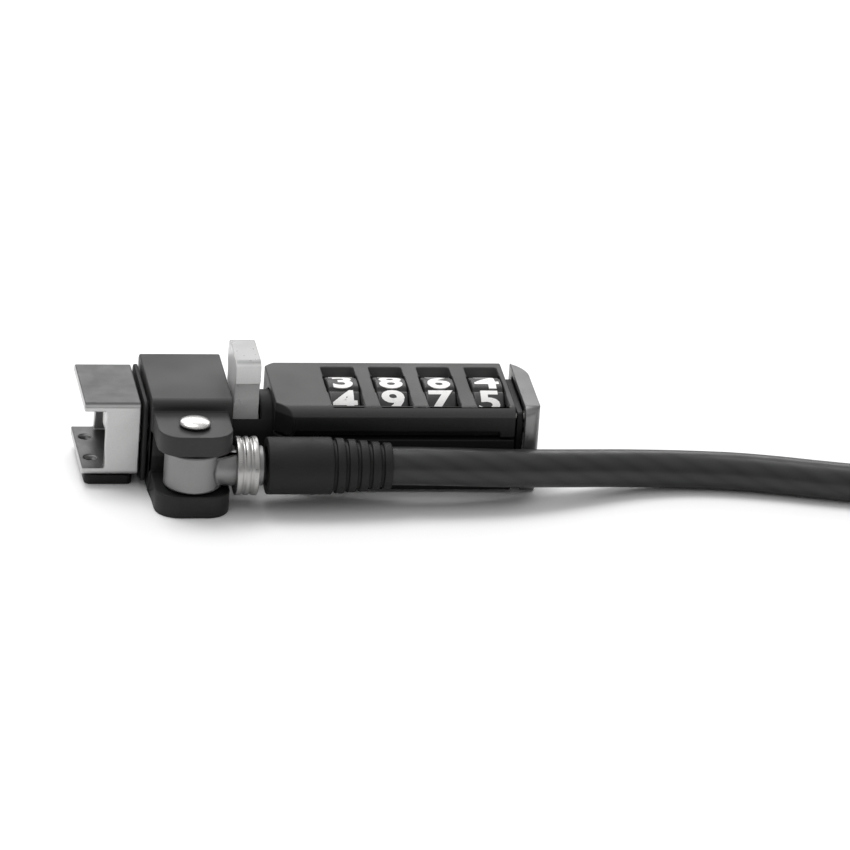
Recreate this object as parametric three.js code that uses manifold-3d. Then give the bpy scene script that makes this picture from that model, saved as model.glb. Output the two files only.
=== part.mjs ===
// A combination cable lock for a laptop: a T-bar head with a turn lever, a four-dial body,
// a pivoting security cable and the small slot bracket that the T-bar locks into.
// Millimetres, +Z up. +X runs from the slot bracket to the push button at the free end.
// The origin is under the middle of the lock, on the surface it lies on.

import * as THREE from "three";
import { mergeVertices } from "three/addons/utils/BufferGeometryUtils.js";
import Module from "manifold-3d";

const wasm = await Module();
wasm.setup();

// ---- Driving dimensions ----------------------------------------------------------------

const GAP = 0.3; // between pieces that touch
const PLAY = 0.15; // all round, between a pin or shaft and its hole
const SCREW_PLAY = 0.2; // all round, between a screw or rivet and its hole
const AXIS = { y: 4, z: 6 }; // the line of the spindle, the dials and the lock rod

// The dial body
const BODY = { x0: -4.7, x1: 25.5, halfWidth: 7.75, height: 11.5, edge: 1.4, corner: 2 };
const SPLIT = { z: 7.4, groove: 0.9, depth: 0.55, x0: -2.4, x1: 23.6 };
const END_ROUND = { front: 1.5, back: 5 }; // the free end's corners, seen from above
const DIAL = { count: 4, first: 4.4, pitch: 6.1, width: 3.9, radius: 5.85, bore: 4.75, digits: 10 };
const POCKET = { radius: 6.08, width: 4.3 };
// A window over each dial, with finger reliefs that slope down from the top. The front one is
// longer, so that the digit below the top one can be read as well.
const WINDOW = { width: 4.1, half: 4.7, front: 7, back: 5.4, depth: 2, under: 4.25, floor: 2.3 };
const WEB = { thickness: 0.4, bore: 2.8, gate: 0.75 };
const ROD = { radius: 1, fin: 3.6, finHalf: 0.35, x1: 28.4 };
const NOSE = { x0: -1.3, halfWidth: 0.5, halfHeight: 1.4 };
const COLLAR = { radius: 2.35, x0: 1.2, x1: 1.7 };
const SPRING = { radius: 2, wire: 0.14, turns: 2.25, x0: -0.5, x1: 1 };
const TUBE = { outer: 2.6, inner: 1.35, x0: 2.0, x1: 25.5, slot: 0.55 };
const END_CAP = { x0: 25.8, x1: 26.6, inset: 1, y1: 8.3 };
const BUTTON = { x0: 26.7, x1: 28.7, wall: 0.7, face: 0.6, y1: 8.6 };
const SHELL_SCREW = { x: 0.4, inset: 1.85, shank: 0.65, head: 1.2, foot: 0.15, seat: 1, top: 10 };
const CAP_SCREW = { inset: 1.8, high: 9.7, low: 1.8, shank: 0.45, head: 0.75, x0: 20, x1: 27 };
const LEAF = { y0: 10.2, y1: 10.45, bump: 9.95 };

// The neck and its lever
const SLEEVE = { x0: -12.5, x1: -1.5, outer: 4.4, inner: 3.55 };
const SLEEVE_PIN = { head: -11.4, body: -2.9, radius: 0.5, z0: 0.4, z1: 2.4 };
const LEVER = { x0: -9.8, x1: -6.4, ring: 3.3, stem: 3.3, tip: 4, top: 10.1, pin: 0.6 };

// The head, with the clevis that holds the cable's eye
const HEAD = { x0: -20.5, x1: -10.3, height: 12.5, edge: 1, recess: 4.1 };
const LUG = { halfWidth: 4.7, front: -11.75, corner: 3, lowerTop: 2.9, upperBottom: 8.3, top: 11 };
const PIVOT = { x: -15.6, y: -8, radius: 1.3, head: 2 };

// The T-bar, and the slot it locks into
const SHAFT = { radius: 2, x0: -20.9, x1: -1.6, bore: 2.3 };
const TEE = { x0: -25.2, x1: -23.7, radius: 3.1, halfThick: 1.15, shank: 1.3 };
const CROSS_SLOT = { x: [-4, -1], halfWidth: 0.7 };
const CLIP = { x0: -4.95, x1: -4.55, inner: 1.75, outer: 3.2, grooveRadius: 1.6, halfMouth: 1.2 };
const BRACKET = { x0: -28.7, x1: -21.6, y0: -2.1, y1: 10.9, z0: 1.6, z1: 11.3, wall: 1.1, plate: 1.6 };
const BLOCK_X0 = -25.9; // where the bracket's side walls start
const SLOT = { halfLength: 3.55, halfHeight: 1.45 };
const FOOT_HOLE = { x: -27.3, y: [1.2, 7.6], radius: 0.8 };
const BRACKET_PAD = { x0: -28.2, x1: -22.2, inset: 0.8, corner: 0.8 };
const PRONG = { x0: -22.9, inner: 1.75, outer: 3.2, halfHeight: 1.1 };

// The cable
const CABLE = { diameter: 4.8, z: 5.6, exit: 9.6 };
const FERRULE = { x0: -10.4, x1: -7.6, radius: 3.7 };
const RELIEF = { x0: -6.4, x1: 9.3, radius: 3.6 };
const EYE = { radius: 3.6, halfHeight: 2.5, shank: 2.5 };
const COIL = { x: 117, y: 25.6, radius: 28.8, turns: 3, layers: 3 };
const CABLE_LIFT = CABLE.diameter / 2 + 0.02; // its middle, where it lies on the surface

// ---- Solids ----------------------------------------------------------------------------

function solid(geometry) {
  const bare = geometry.clone();
  bare.deleteAttribute("normal");
  bare.deleteAttribute("uv");
  const merged = mergeVertices(bare, 1e-4);
  return new wasm.Manifold(
    new wasm.Mesh({
      numProp: 3,
      vertProperties: new Float32Array(merged.attributes.position.array),
      triVerts: new Uint32Array(merged.index.array),
    }),
  );
}

function geometryOf(made) {
  const mesh = made.getMesh();
  const geometry = new THREE.BufferGeometry();
  const positions = new Float32Array(mesh.numVert * 3);
  for (let i = 0; i < mesh.numVert; i++) {
    positions.set(mesh.vertProperties.subarray(i * mesh.numProp, i * mesh.numProp + 3), i * 3);
  }
  geometry.setAttribute("position", new THREE.BufferAttribute(positions, 3));
  geometry.setIndex(new THREE.BufferAttribute(new Uint32Array(mesh.triVerts), 1));
  geometry.computeVertexNormals();
  return geometry;
}

const join = (first, ...rest) => rest.reduce((sum, piece) => sum.add(piece), first);
const cut = (first, ...rest) => rest.reduce((left, piece) => left.subtract(piece), first);

function box([x0, x1], [y0, y1], [z0, z1]) {
  const geometry = new THREE.BoxGeometry(x1 - x0, y1 - y0, z1 - z0);
  geometry.translate((x0 + x1) / 2, (y0 + y1) / 2, (z0 + z1) / 2);
  return solid(geometry);
}

// A cylinder along X, on the spindle's line unless y and z say otherwise.
function rodX(radius, x0, x1, { y = AXIS.y, z = AXIS.z, sides = 24 } = {}) {
  const geometry = new THREE.CylinderGeometry(radius, radius, x1 - x0, sides);
  geometry.rotateZ(Math.PI / 2).translate((x0 + x1) / 2, y, z);
  return solid(geometry);
}

function rodY(radius, y0, y1, x, z, sides = 12) {
  const geometry = new THREE.CylinderGeometry(radius, radius, y1 - y0, sides);
  geometry.translate(x, (y0 + y1) / 2, z);
  return solid(geometry);
}

function rodZ(radius, z0, z1, x, y, sides = 16) {
  const geometry = new THREE.CylinderGeometry(radius, radius, z1 - z0, sides);
  geometry.rotateX(Math.PI / 2).translate(x, y, (z0 + z1) / 2);
  return solid(geometry);
}

function roundedRectangle(x0, x1, y0, y1, radius) {
  const shape = new THREE.Shape();
  shape.moveTo(x0 + radius, y0);
  shape.absarc(x1 - radius, y0 + radius, radius, -Math.PI / 2, 0);
  shape.absarc(x1 - radius, y1 - radius, radius, 0, Math.PI / 2);
  shape.absarc(x0 + radius, y1 - radius, radius, Math.PI / 2, Math.PI);
  shape.absarc(x0 + radius, y0 + radius, radius, Math.PI, 1.5 * Math.PI);
  return shape;
}

// An outline in the XY plane, raised from z0 to z1.
function plate(shape, z0, z1, curveSegments = 5) {
  const geometry = new THREE.ExtrudeGeometry(shape, { depth: z1 - z0, bevelEnabled: false, curveSegments });
  geometry.translate(0, 0, z0);
  return solid(geometry);
}

// An outline drawn in Y (across) and Z (up), run from x0 to x1.
function bar(shape, x0, x1, curveSegments = 4) {
  const geometry = new THREE.ExtrudeGeometry(shape, { depth: x1 - x0, bevelEnabled: false, curveSegments });
  const across = new THREE.Matrix4().makeBasis(
    new THREE.Vector3(0, 1, 0),
    new THREE.Vector3(0, 0, 1),
    new THREE.Vector3(1, 0, 0),
  );
  geometry.applyMatrix4(across).translate(x0, 0, 0);
  return solid(geometry);
}

// A screw or rivet turned about its own axis, from [radius, height] steps, foot to head.
function turned(steps, sides = 14) {
  const profile = steps.map(([radius, height]) => new THREE.Vector2(radius, height));
  return solid(new THREE.LatheGeometry(profile, sides).rotateX(Math.PI / 2));
}

function moved(made, x, y, z) {
  return made.translate([x, y, z]);
}

// ---- The model -------------------------------------------------------------------------

const lock = new THREE.Group();
lock.name = "laptop_cable_lock";

const finishes = {
  zinc: { color: 0x4a4b4d, roughness: 0.5, metalness: 0.6 },
  blackZinc: { color: 0x1d1d1f, roughness: 0.45, metalness: 0.5 },
  steel: { color: 0xc4c4c2, roughness: 0.25, metalness: 1 },
  silver: { color: 0xb9bbbd, roughness: 0.35, metalness: 0.9 },
  brass: { color: 0xb08d4f, roughness: 0.35, metalness: 1 },
  dialBlack: { color: 0x202123, roughness: 0.45, metalness: 0 },
  rubber: { color: 0x141415, roughness: 0.8, metalness: 0 },
  jacket: { color: 0x2a2b2d, roughness: 0.4, metalness: 0 },
};

function add(name, made, finish) {
  const mesh = new THREE.Mesh(geometryOf(made), new THREE.MeshStandardMaterial(finishes[finish]));
  mesh.name = name;
  lock.add(mesh);
}

const dialCentres = Array.from({ length: DIAL.count }, (_, i) => DIAL.first + i * DIAL.pitch);
const bodyY = [AXIS.y - BODY.halfWidth, AXIS.y + BODY.halfWidth];
const shellScrews = [bodyY[0] + SHELL_SCREW.inset, bodyY[1] - SHELL_SCREW.inset];
const capScrews = [
  { y: bodyY[0] + CAP_SCREW.inset, z: CAP_SCREW.high },
  { y: bodyY[0] + CAP_SCREW.inset, z: CAP_SCREW.low },
];
const leverPinX = (LEVER.x0 + LEVER.x1) / 2;

// ---- Dial body: two shells that close on the dials along a groove ------------------------

// The outline that the body and the button share, seen from above.
function lockPlan() {
  const { front, back } = END_ROUND;
  const plan = new THREE.Shape();
  plan.moveTo(BODY.x0 + BODY.corner, bodyY[0]);
  plan.lineTo(BUTTON.x1 - front, bodyY[0]);
  plan.absarc(BUTTON.x1 - front, bodyY[0] + front, front, -Math.PI / 2, 0);
  plan.lineTo(BUTTON.x1, bodyY[1] - back);
  plan.absarc(BUTTON.x1 - back, bodyY[1] - back, back, 0, Math.PI / 2);
  plan.lineTo(BODY.x0 + BODY.corner, bodyY[1]);
  plan.lineTo(BODY.x0, bodyY[1] - BODY.corner);
  plan.lineTo(BODY.x0, bodyY[0] + BODY.corner);
  return plan;
}

function envelope(x0, x1) {
  const section = roundedRectangle(bodyY[0], bodyY[1], 0, BODY.height, BODY.edge);
  return bar(section, x0, x1).intersect(plate(lockPlan(), -1, BODY.height + 1, 10));
}

function dialPockets() {
  const half = POCKET.width / 2;
  const pockets = dialCentres.map((x) => rodX(POCKET.radius, x - half, x + half, { sides: 32 }));
  const relief = new THREE.Shape();
  relief.moveTo(AXIS.y - WINDOW.half, BODY.height - WINDOW.depth);
  relief.lineTo(AXIS.y + WINDOW.half, BODY.height - WINDOW.depth);
  relief.lineTo(AXIS.y + WINDOW.back, BODY.height);
  relief.lineTo(AXIS.y + WINDOW.back, BODY.height + 1);
  relief.lineTo(AXIS.y - WINDOW.front, BODY.height + 1);
  relief.lineTo(AXIS.y - WINDOW.front, BODY.height);
  const underY = [AXIS.y - WINDOW.under, AXIS.y + WINDOW.under];
  const windows = dialCentres.flatMap((x) => {
    const windowX = [x - WINDOW.width / 2, x + WINDOW.width / 2];
    return [bar(relief, ...windowX), box(windowX, underY, [-1, WINDOW.floor])];
  });
  return [...pockets, ...windows];
}

function bodyCavities() {
  const channel = rodX(TUBE.outer + PLAY, TUBE.x0 - 0.1, BODY.x1 + 1);
  const sleeveSeat = rodX(SLEEVE.outer + PLAY, BODY.x0 - 1, SLEEVE.x1 + GAP);
  const noseWay = rodX(NOSE.halfHeight + 0.35, SLEEVE.x1, 0);
  const springRoom = rodX(SPRING.radius + 1, SPRING.x0 - 0.2, TUBE.x0 - 0.1);
  const screwHoles = shellScrews.flatMap((y) => [
    rodZ(SHELL_SCREW.shank + SCREW_PLAY, -1, SHELL_SCREW.top + 0.4, SHELL_SCREW.x, y),
    rodZ(SHELL_SCREW.head + 0.25, -1, SHELL_SCREW.seat + GAP, SHELL_SCREW.x, y),
  ]);
  const capHoles = capScrews.map((at) =>
    rodX(CAP_SCREW.shank + SCREW_PLAY, CAP_SCREW.x0 - 0.4, BODY.x1 + 1, { ...at, sides: 10 }),
  );
  const sleevePinHole = rodZ(SLEEVE_PIN.radius + PLAY, -1, 3, SLEEVE_PIN.body, AXIS.y);
  return [channel, sleeveSeat, noseWay, springRoom, ...screwHoles, ...capHoles, sleevePinHole];
}

const leafX = [dialCentres[0] - 1.5, dialCentres[DIAL.count - 1] + 1.5];
const leafRoomX = [leafX[0] - 0.4, leafX[1] + 0.4];
const detentChannel = join(
  box(leafRoomX, [LEAF.y0 - 0.2, LEAF.y1 + 0.25], [2.6, SPLIT.z + 1]),
  box(leafRoomX, [LEAF.bump - 0.35, LEAF.y1 + 0.25], [4.9, 7.2]),
);

function grooveCut() {
  const z = [SPLIT.z, SPLIT.z + SPLIT.groove];
  const x = [SPLIT.x0, SPLIT.x1];
  return join(
    box(x, [bodyY[0] - 1, bodyY[0] + SPLIT.depth], z),
    box(x, [bodyY[1] - SPLIT.depth, bodyY[1] + 1], z),
  );
}

const bodyBlank = cut(
  envelope(BODY.x0, BODY.x1),
  ...dialPockets(),
  ...bodyCavities(),
  detentChannel,
  grooveCut(),
);
const wide = [-100, 100];
add("upper_shell", bodyBlank.intersect(box(wide, wide, [SPLIT.z + GAP / 2, 50])), "zinc");
add("lower_shell", bodyBlank.intersect(box(wide, wide, [-50, SPLIT.z - GAP / 2])), "blackZinc");

// The plate that closes the free end, small enough for the button to slide over it.
function endCap() {
  const { x0, x1, inset, y1 } = END_CAP;
  const outline = roundedRectangle(bodyY[0] + inset, y1, inset, BODY.height - inset, 0.5);
  const screwHoles = capScrews.map((at) =>
    rodX(CAP_SCREW.shank + SCREW_PLAY, x0 - 1, x1 + 1, { ...at, sides: 10 }),
  );
  return cut(bar(outline, x0, x1), rodX(ROD.radius + 0.2, x0 - 1, x1 + 1), ...screwHoles);
}
add("end_cap", endCap(), "blackZinc");

// Screws: two from below hold the shells together, two hold the end cap.
shellScrews.forEach((y, i) => {
  const { shank, head, foot, seat, top } = SHELL_SCREW;
  const screw = turned([[0, foot], [head, foot], [head, seat], [shank, seat], [shank, top], [0, top]]);
  const slot = box([-2, 2], [-0.2, 0.2], [0, 0.5]);
  add("shell_screw_" + (i + 1), moved(cut(screw, slot), SHELL_SCREW.x, y, 0), "steel");
});
capScrews.forEach(({ y, z }, i) => {
  const { x0, x1 } = CAP_SCREW;
  const shank = rodX(CAP_SCREW.shank, x0, x1 - 0.1, { y, z, sides: 12 });
  const head = rodX(CAP_SCREW.head, END_CAP.x1 + 0.1, x1, { y, z, sides: 12 });
  const slot = box([x1 - 0.15, x1 + 1], [y - 0.12, y + 0.12], [z - 2, z + 2]);
  add("end_cap_screw_" + (i + 1), cut(join(shank, head), slot), "steel");
});

// ---- Dials: a ring with its digits' flats, on a gated code wheel -------------------------

function dialRing(x) {
  const outline = new THREE.Shape();
  const stepsPerDigit = 4;
  const steps = DIAL.digits * stepsPerDigit;
  for (let i = 0; i < steps; i++) {
    const inGroove = i % stepsPerDigit === stepsPerDigit / 2;
    const radius = inGroove ? DIAL.radius - 0.3 : DIAL.radius;
    const angle = Math.PI / 2 + (i / steps) * 2 * Math.PI;
    const point = [AXIS.y + radius * Math.cos(angle), AXIS.z + radius * Math.sin(angle)];
    if (i === 0) outline.moveTo(...point);
    else outline.lineTo(...point);
  }
  const half = DIAL.width / 2;
  return cut(bar(outline, x - half, x + half), rodX(DIAL.bore, x - 9, x + 9));
}

function codeWheel(x) {
  const half = DIAL.width / 2;
  const web = WEB.thickness / 2;
  const rim = cut(rodX(DIAL.bore - 0.25, x - half, x + half), rodX(3.95, x - 9, x + 9));
  const disc = cut(rodX(4.2, x - web, x + web), rodX(WEB.bore, x - 9, x + 9));
  const gateZ = [AXIS.z - ROD.fin - 0.25, AXIS.z - 2];
  const gate = box([x - 1, x + 1], [AXIS.y - WEB.gate, AXIS.y + WEB.gate], gateZ);
  return join(rim, cut(disc, gate));
}

dialCentres.forEach((x, i) => {
  add("dial_" + (i + 1), dialRing(x), "dialBlack");
  add("code_wheel_" + (i + 1), codeWheel(x), "brass");
});

// The slotted tube that the code wheels turn on.
const slotEnd = dialCentres[DIAL.count - 1] + 1.6;
const tubeSlot = box([TUBE.x0 - 1, slotEnd], [AXIS.y - TUBE.slot, AXIS.y + TUBE.slot], [0, AXIS.z]);
const tubeBlank = rodX(TUBE.outer, TUBE.x0, TUBE.x1);
const tubeBore = rodX(TUBE.inner, TUBE.x0 - 1, TUBE.x1 + 1);
add("axle_tube", cut(tubeBlank, tubeBore, tubeSlot), "steel");

// A leaf spring behind the dials, with one bump for each.
function detentSpring() {
  const leaf = box(leafX, [LEAF.y0, LEAF.y1], [3.1, 7]);
  const bumpZ = [AXIS.z - 0.4, AXIS.z + 0.4];
  const bumps = dialCentres.map((x) => box([x - 0.5, x + 0.5], [LEAF.bump, LEAF.y0 + 0.1], bumpZ));
  return join(leaf, ...bumps);
}
add("detent_spring", detentSpring(), "steel");

// ---- Lock rod: a fin for each code wheel, a nose for the spindle, and the button ---------

function lockRod() {
  const stem = rodX(ROD.radius, -0.3, ROD.x1, { sides: 12 });
  const nose = box(
    [NOSE.x0, 0],
    [AXIS.y - NOSE.halfWidth, AXIS.y + NOSE.halfWidth],
    [AXIS.z - NOSE.halfHeight, AXIS.z + NOSE.halfHeight],
  );
  const collar = rodX(COLLAR.radius, COLLAR.x0, COLLAR.x1, { sides: 16 });
  const finStart = WEB.thickness / 2 + 0.1;
  const finY = [AXIS.y - ROD.finHalf, AXIS.y + ROD.finHalf];
  const fins = dialCentres.map((x) =>
    box([x + finStart, x + finStart + WEB.thickness], finY, [AXIS.z - ROD.fin, AXIS.z]),
  );
  return join(stem, nose, collar, ...fins);
}
add("lock_rod", lockRod(), "steel");

// A cup the size of the body's section, which slides over the end cap as it is pushed.
function releaseButton() {
  const { x0, x1, wall, face, y1 } = BUTTON;
  const cavity = roundedRectangle(bodyY[0] + wall, y1, wall, BODY.height - wall, 0.7);
  const rodBore = rodX(ROD.radius + PLAY, x0 - 1, ROD.x1 + PLAY);
  return cut(envelope(x0, x1), bar(cavity, x0 - 1, x1 - face), rodBore);
}
add("release_button", releaseButton(), "silver");

// The spring that pushes the rod and its button out.
class Helix extends THREE.Curve {
  getPoint(t) {
    const angle = t * SPRING.turns * 2 * Math.PI;
    const x = SPRING.x0 + t * (SPRING.x1 - SPRING.x0);
    const y = AXIS.y + SPRING.radius * Math.cos(angle);
    return new THREE.Vector3(x, y, AXIS.z + SPRING.radius * Math.sin(angle));
  }
}

function circle(radius, sides) {
  const shape = new THREE.Shape();
  for (let i = 0; i < sides; i++) {
    const angle = (i / sides) * 2 * Math.PI;
    if (i === 0) shape.moveTo(radius, 0);
    else shape.lineTo(radius * Math.cos(angle), radius * Math.sin(angle));
  }
  return shape;
}

function tubeAlong(path, radius, sides, steps) {
  const options = { steps, bevelEnabled: false, extrudePath: path };
  return solid(new THREE.ExtrudeGeometry(circle(radius, sides), options));
}
add("return_spring", tubeAlong(new Helix(), SPRING.wire, 5, 28), "steel");

// ---- Neck: a slotted sleeve that ties the head to the body, and the lever inside it -------

function neckSleeve() {
  const tube = cut(
    rodX(SLEEVE.outer, SLEEVE.x0, SLEEVE.x1),
    rodX(SLEEVE.inner, SLEEVE.x0 - 1, SLEEVE.x1 + 1),
  );
  // the lever swings from the top to the back, so the window covers both
  const windowX = [LEVER.x0 - GAP, LEVER.x1 + GAP];
  const reach = LEVER.stem + 0.4;
  const windowTop = box(windowX, [AXIS.y - reach, AXIS.y + 9], [AXIS.z + 0.2, AXIS.z + 9]);
  const windowBack = box(windowX, [AXIS.y, AXIS.y + 9], [AXIS.z - reach, AXIS.z + 1]);
  const pinHoles = [SLEEVE_PIN.head, SLEEVE_PIN.body].map((x) =>
    rodZ(SLEEVE_PIN.radius + PLAY, 0, 3.2, x, AXIS.y),
  );
  return cut(tube, windowTop, windowBack, ...pinHoles);
}
add("neck_sleeve", neckSleeve(), "blackZinc");

function sleevePin(x) {
  return rodZ(SLEEVE_PIN.radius, SLEEVE_PIN.z0, SLEEVE_PIN.z1, x, AXIS.y, 12);
}
add("sleeve_pin_head", sleevePin(SLEEVE_PIN.head), "steel");
add("sleeve_pin_body", sleevePin(SLEEVE_PIN.body), "steel");

// The cross hole for the pin that ties the lever to the spindle.
function leverPinHole() {
  return rodY(LEVER.pin + PLAY, AXIS.y - 4, AXIS.y + 4, leverPinX, AXIS.z);
}

function turnLever() {
  const ring = rodX(LEVER.ring, LEVER.x0, LEVER.x1);
  const outline = new THREE.Shape();
  const neckTop = AXIS.z + 5.6;
  const fanBottom = AXIS.z + 7;
  const top = AXIS.z + LEVER.top;
  outline.moveTo(AXIS.y - LEVER.stem, AXIS.z);
  outline.lineTo(AXIS.y + LEVER.stem, AXIS.z);
  outline.lineTo(AXIS.y + LEVER.stem, neckTop);
  outline.quadraticCurveTo(AXIS.y + LEVER.stem, fanBottom, AXIS.y + LEVER.tip, fanBottom);
  outline.absarc(AXIS.y + LEVER.tip - 1, top - 1, 1, 0, Math.PI / 2);
  outline.absarc(AXIS.y - LEVER.tip + 1, top - 1, 1, Math.PI / 2, Math.PI);
  outline.lineTo(AXIS.y - LEVER.tip, fanBottom);
  outline.quadraticCurveTo(AXIS.y - LEVER.stem, fanBottom, AXIS.y - LEVER.stem, neckTop);
  const tab = bar(outline, LEVER.x0 + 0.1, LEVER.x1 - 0.1);
  const bore = rodX(SHAFT.radius + PLAY, LEVER.x0 - 1, LEVER.x1 + 1);
  return cut(join(ring, tab), bore, leverPinHole());
}
add("turn_lever", turnLever(), "steel");
add("lever_pin", rodY(LEVER.pin, AXIS.y - 3.1, AXIS.y + 3.1, leverPinX, AXIS.z), "steel");

// ---- Spindle: the T-bar, its shaft and the cross slot that the lock rod's nose enters ------

function spindle() {
  const tee = rodX(TEE.radius, TEE.x0, TEE.x1).intersect(
    box(wide, wide, [AXIS.z - TEE.halfThick, AXIS.z + TEE.halfThick]),
  );
  const shank = rodX(TEE.shank, TEE.x1 - 0.2, SHAFT.x0 + 0.2, { sides: 24 });
  const shaft = rodX(SHAFT.radius, SHAFT.x0, SHAFT.x1);
  const slots = [
    box(CROSS_SLOT.x, [AXIS.y - CROSS_SLOT.halfWidth, AXIS.y + CROSS_SLOT.halfWidth], wide),
    box(CROSS_SLOT.x, wide, [AXIS.z - CROSS_SLOT.halfWidth, AXIS.z + CROSS_SLOT.halfWidth]),
  ];
  const grooveX = [CLIP.x0 - PLAY, CLIP.x1 + PLAY];
  const clipGroove = cut(rodX(3, ...grooveX), rodX(CLIP.grooveRadius, -6, -4));
  return cut(join(tee, shank, shaft), ...slots, clipGroove, leverPinHole());
}
add("t_bar_spindle", spindle(), "steel");

function spindleClip() {
  const ring = cut(rodX(CLIP.outer, CLIP.x0, CLIP.x1), rodX(CLIP.inner, -6, -4));
  const mouth = [AXIS.y - CLIP.halfMouth, AXIS.y + CLIP.halfMouth];
  return cut(ring, box([-6, -4], mouth, [AXIS.z - 4, AXIS.z]));
}
add("spindle_clip", spindleClip(), "steel");

// ---- Head: a block for the spindle, with two lugs in front that hold the cable's eye -------

function lugPlan() {
  const x = [PIVOT.x - LUG.halfWidth, PIVOT.x + LUG.halfWidth];
  return roundedRectangle(x[0], x[1], LUG.front, bodyY[0] + LUG.corner + 2, LUG.corner);
}

function headBlock() {
  const section = roundedRectangle(bodyY[0], bodyY[1], 0, HEAD.height, HEAD.edge);
  const block = bar(section, HEAD.x0, HEAD.x1);
  const lowerLug = plate(lugPlan(), 0, LUG.lowerTop);
  const upperLug = plate(lugPlan(), LUG.upperBottom, LUG.top);
  return cut(
    join(block, lowerLug, upperLug),
    rodX(SHAFT.bore, HEAD.x0 - 1, HEAD.x1),
    rodX(HEAD.recess, HEAD.x0 - 1, HEAD.x0 + 1.4),
    rodX(SLEEVE.outer + PLAY, SLEEVE.x0 - GAP, HEAD.x1 + 1),
    rodZ(PIVOT.radius + SCREW_PLAY, -1, 14, PIVOT.x, PIVOT.y),
    rodZ(PIVOT.head + SCREW_PLAY, -1, 1, PIVOT.x, PIVOT.y),
    rodZ(SLEEVE_PIN.radius + PLAY, -1, 3, SLEEVE_PIN.head, AXIS.y),
  );
}
add("head_block", headBlock(), "zinc");

const rivetSteps = [
  [0, 0.15],
  [PIVOT.head, 0.15],
  [PIVOT.head, 0.75],
  [PIVOT.radius, 0.75],
  [PIVOT.radius, LUG.top + 0.25],
  [PIVOT.head, LUG.top + 0.25],
  [PIVOT.head, LUG.top + 0.6],
  [PIVOT.head - 0.7, LUG.top + 0.95],
  [0, LUG.top + 0.95],
];
add("pivot_rivet", moved(turned(rivetSteps, 20), PIVOT.x, PIVOT.y, 0), "steel");

// The collar in the head's face: its two prongs fill the slot beside the shank.
function prongCollar() {
  const disc = rodX(HEAD.recess - 0.25, HEAD.x0, HEAD.x0 + 1.1);
  const prongZ = [AXIS.z - PRONG.halfHeight, AXIS.z + PRONG.halfHeight];
  const prongs = [-1, 1].map((side) => {
    const y = [PRONG.inner, PRONG.outer].map((offset) => AXIS.y + side * offset);
    return box([PRONG.x0, HEAD.x0 + 0.5], y.sort((a, b) => a - b), prongZ);
  });
  return cut(join(disc, ...prongs), rodX(SHAFT.bore, SHAFT.x0, HEAD.x1));
}
add("prong_collar", prongCollar(), "steel");

function facePad() {
  const outline = roundedRectangle(bodyY[0] + 0.7, bodyY[1] - 0.7, 0.8, HEAD.height - 0.9, 1.5);
  const hole = rodX(HEAD.recess, HEAD.x0 - 2, HEAD.x1);
  return cut(bar(outline, HEAD.x0 - GAP - 0.5, HEAD.x0 - GAP), hole);
}
add("face_pad", facePad(), "rubber");

// ---- Slot bracket: screwed to the laptop, with the security slot and a chamber for the T ----

function slotBracket() {
  const { x0, x1, y0, y1, z0, z1, wall, plate: thick } = BRACKET;
  const section = roundedRectangle(y0, y1, z0, z1, 0.7);
  const outside = bar(section, x0, x1, 4);
  const chamber = box([x0 - 1, x1 - thick], [y0 + wall, y1 - wall], [z0 + wall - 0.1, z1 - wall]);
  const sideOpenings = box([x0 - 1, BLOCK_X0], [y0 - 1, y1 + 1], [z0 + wall - 0.1, z1 - wall]);
  const slot = box(
    [x1 - thick - 1, x1 + 1],
    [AXIS.y - SLOT.halfLength, AXIS.y + SLOT.halfLength],
    [AXIS.z - SLOT.halfHeight, AXIS.z + SLOT.halfHeight],
  );
  const screwHoles = FOOT_HOLE.y.map((y) => rodZ(FOOT_HOLE.radius, 0, 4, FOOT_HOLE.x, y));
  return cut(outside, chamber, sideOpenings, slot, ...screwHoles);
}
add("slot_bracket", slotBracket(), "silver");

function bracketPad() {
  const { x0, x1, inset, corner } = BRACKET_PAD;
  const outline = roundedRectangle(x0, x1, BRACKET.y0 + inset, BRACKET.y1 - inset, corner);
  return plate(outline, 0, BRACKET.z0 - GAP);
}
add("bracket_pad", bracketPad(), "rubber");

// ---- Cable: an eye on the pivot, a crimped ferrule, a moulded sleeve and the cable itself ----

const onCable = { y: PIVOT.y, z: CABLE.z };

function cableEye() {
  const { radius, halfHeight } = EYE;
  const eye = rodZ(radius, CABLE.z - halfHeight, CABLE.z + halfHeight, PIVOT.x, PIVOT.y, 24);
  const shank = rodX(EYE.shank, PIVOT.x, RELIEF.x0 - GAP, { ...onCable, sides: 16 });
  return cut(join(eye, shank), rodZ(PIVOT.radius + SCREW_PLAY, 0, 12, PIVOT.x, PIVOT.y));
}
add("cable_eye", cableEye(), "silver");

const ferruleBlank = rodX(FERRULE.radius, FERRULE.x0, FERRULE.x1, onCable);
const ferruleBore = rodX(EYE.shank + 0.25, FERRULE.x0 - 1, FERRULE.x1 + 1, onCable);
add("crimp_ferrule", cut(ferruleBlank, ferruleBore), "steel");
add("strain_relief", rodX(RELIEF.radius, RELIEF.x0, RELIEF.x1, onCable), "rubber");

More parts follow.
